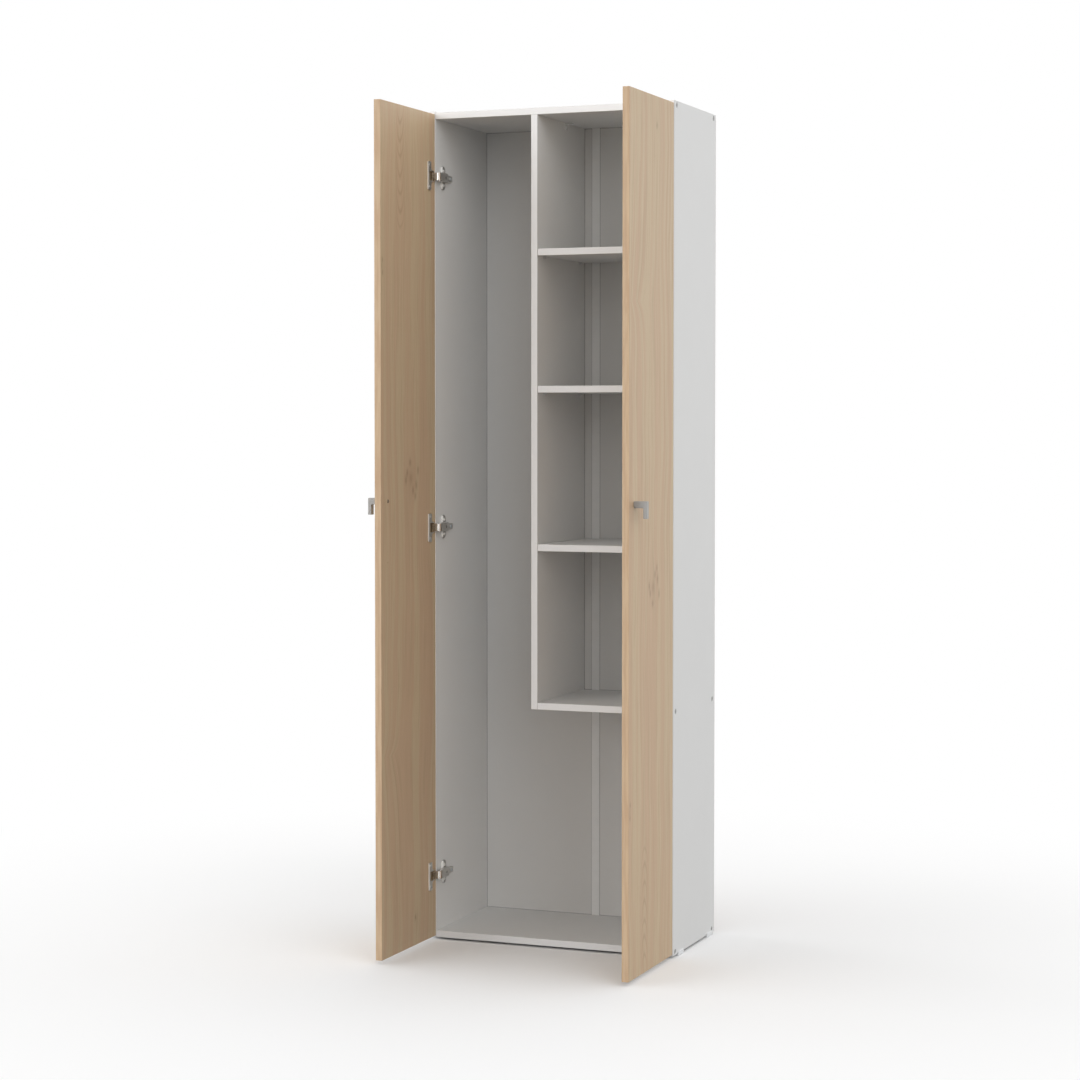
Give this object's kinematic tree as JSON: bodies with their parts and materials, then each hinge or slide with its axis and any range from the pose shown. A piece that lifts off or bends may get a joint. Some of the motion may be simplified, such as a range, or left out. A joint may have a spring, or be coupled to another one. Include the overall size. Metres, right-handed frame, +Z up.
{
  "type": "broom cupboard",
  "caption": "Tall broom cupboard with two hinged doors, a high broom bay and a column of shelves beside it, on low floor glides.",
  "frame": {"origin": "on the floor, under the middle of the object's box with both doors open at 90 degrees", "axes": "+Z up, -Y out of the cupboard's front, +X to the right as seen from the front"},
  "size_m": [0.632, 0.5846, 1.85],
  "materials": {
    "white_board": "white melamine-faced particle board, fine matt texture",
    "back_board": "thin white hardboard and white plastic strip, matt",
    "oak_board": "pale oak-look melamine-faced board with upright grain, satin",
    "handle_grey": "grey satin metal",
    "nickel": "nickel-plated pressed steel, bright",
    "pin_steel": "bright plated steel",
    "screw_steel": "dull plated steel",
    "glide_plastic": "pale grey translucent plastic"
  },
  "bodies": {
    "carcass": {"back_joining_strip": "back_board", "back_panel_left": "back_board", "back_panel_right": "back_board", "base_panel": "white_board", "corner_bracket": "pin_steel", "divider": "white_board", "fixed_shelf": "white_board", "glide_left_front": "glide_plastic", "glide_left_rear": "glide_plastic", "glide_right_front": "glide_plastic", "glide_right_rear": "glide_plastic", "hinge_arm_left_low": "nickel", "hinge_arm_left_middle": "nickel", "hinge_arm_left_top": "nickel", "hinge_arm_right_low": "nickel", "hinge_arm_right_middle": "nickel", "hinge_arm_right_top": "nickel", "hinge_plate_left_low": "nickel", "hinge_plate_left_middle": "nickel", "hinge_plate_left_top": "nickel", "hinge_plate_right_low": "nickel", "hinge_plate_right_middle": "nickel", "hinge_plate_right_top": "nickel", "shelf_1": "white_board", "shelf_2": "white_board", "shelf_3": "white_board", "shelf_pin_1_left_front": "pin_steel", "shelf_pin_1_left_rear": "pin_steel", "shelf_pin_1_right_front": "pin_steel", "shelf_pin_1_right_rear": "pin_steel", "shelf_pin_2_left_front": "pin_steel", "shelf_pin_2_left_rear": "pin_steel", "shelf_pin_2_right_front": "pin_steel", "shelf_pin_2_right_rear": "pin_steel", "shelf_pin_3_left_front": "pin_steel", "shelf_pin_3_left_rear": "pin_steel", "shelf_pin_3_right_front": "pin_steel", "shelf_pin_3_right_rear": "pin_steel", "side_left": "white_board", "side_right": "white_board", "top_panel": "white_board"},
    "left_links": {"hinge_link_left_low": "nickel", "hinge_link_left_middle": "nickel", "hinge_link_left_top": "nickel"},
    "left_door": {"door_left": "oak_board", "handle_left": "handle_grey", "handle_screw_left": "screw_steel", "hinge_cup_left_low": "nickel", "hinge_cup_left_middle": "nickel", "hinge_cup_left_top": "nickel"},
    "right_links": {"hinge_link_right_low": "nickel", "hinge_link_right_middle": "nickel", "hinge_link_right_top": "nickel"},
    "right_door": {"door_right": "oak_board", "handle_right": "handle_grey", "handle_screw_right": "screw_steel", "hinge_cup_right_low": "nickel", "hinge_cup_right_middle": "nickel", "hinge_cup_right_top": "nickel"}
  },
  "joints": [
    {"name": "left_link_turn", "type": "hinge", "parent": "carcass", "child": "left_links", "pos_m": [-0.26, -0.01125, 0.9265], "axis": [0, 0, -1], "range_deg": [-5.5, 32]},
    {"name": "left_door_swing", "type": "hinge", "parent": "left_links", "child": "left_door", "pos_m": [-0.2738, -0.0183, 0.9265], "axis": [0, 0, -1], "range_deg": [-121.5, 20.25]},
    {"name": "right_link_turn", "type": "hinge", "parent": "carcass", "child": "right_links", "pos_m": [0.26, -0.01125, 0.9265], "axis": [0, 0, 1], "range_deg": [-5.5, 32]},
    {"name": "right_door_swing", "type": "hinge", "parent": "right_links", "child": "right_door", "pos_m": [0.2738, -0.0183, 0.9265], "axis": [0, 0, 1], "range_deg": [-121.5, 20.25]}
  ],
  "couplings": [
    {"joint": "left_link_turn", "follows": "left_door_swing", "ratio": -0.25926},
    {"joint": "right_link_turn", "follows": "right_door_swing", "ratio": -0.25926}
  ]
}
